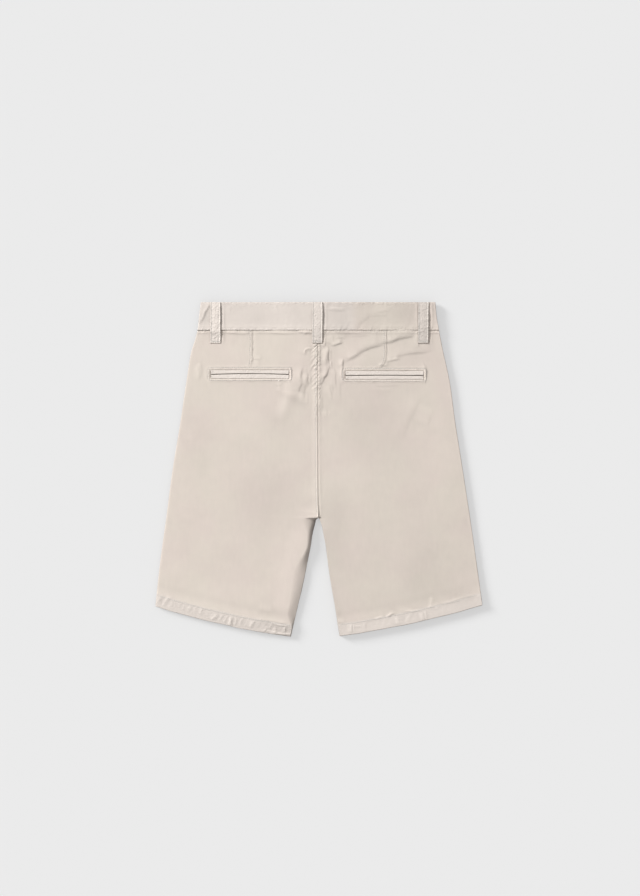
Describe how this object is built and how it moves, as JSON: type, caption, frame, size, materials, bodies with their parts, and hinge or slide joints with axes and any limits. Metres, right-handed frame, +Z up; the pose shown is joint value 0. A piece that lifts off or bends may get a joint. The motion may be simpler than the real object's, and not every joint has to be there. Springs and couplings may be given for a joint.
{
  "type": "bermuda shorts",
  "caption": "Child's chino bermuda shorts in stone cotton twill, laid flat with the back up: waistband with belt loops, back darts, double welt pockets and turned-up hems.",
  "frame": {"origin": "on the surface that the garment lies on, under the middle of its bounding box", "axes": "+Y up the garment to the waist, +Z up from the surface towards the back of the shorts, +X to the right as seen from above, which is the wearer's right"},
  "size_m": [0.4118, 0.4206, 0.0139],
  "materials": {
    "twill": "washed stone-coloured cotton twill with a soft nap, topstitched in thread of the same colour",
    "horn_button": "polished horn-like button"
  },
  "bodies": {
    "root": {"back_left": "twill", "back_right": "twill", "front_left": "twill", "front_right": "twill", "waistband_back": "twill", "waistband_front_left": "twill", "waistband_front_right": "twill", "belt_loop_back_left": "twill", "belt_loop_back_centre": "twill", "belt_loop_back_right": "twill", "belt_loop_front_left": "twill", "belt_loop_front_right": "twill", "welt_left_upper": "twill", "welt_left_lower": "twill", "welt_right_upper": "twill", "welt_right_lower": "twill", "button": "horn_button"}
  },
  "joints": []
}
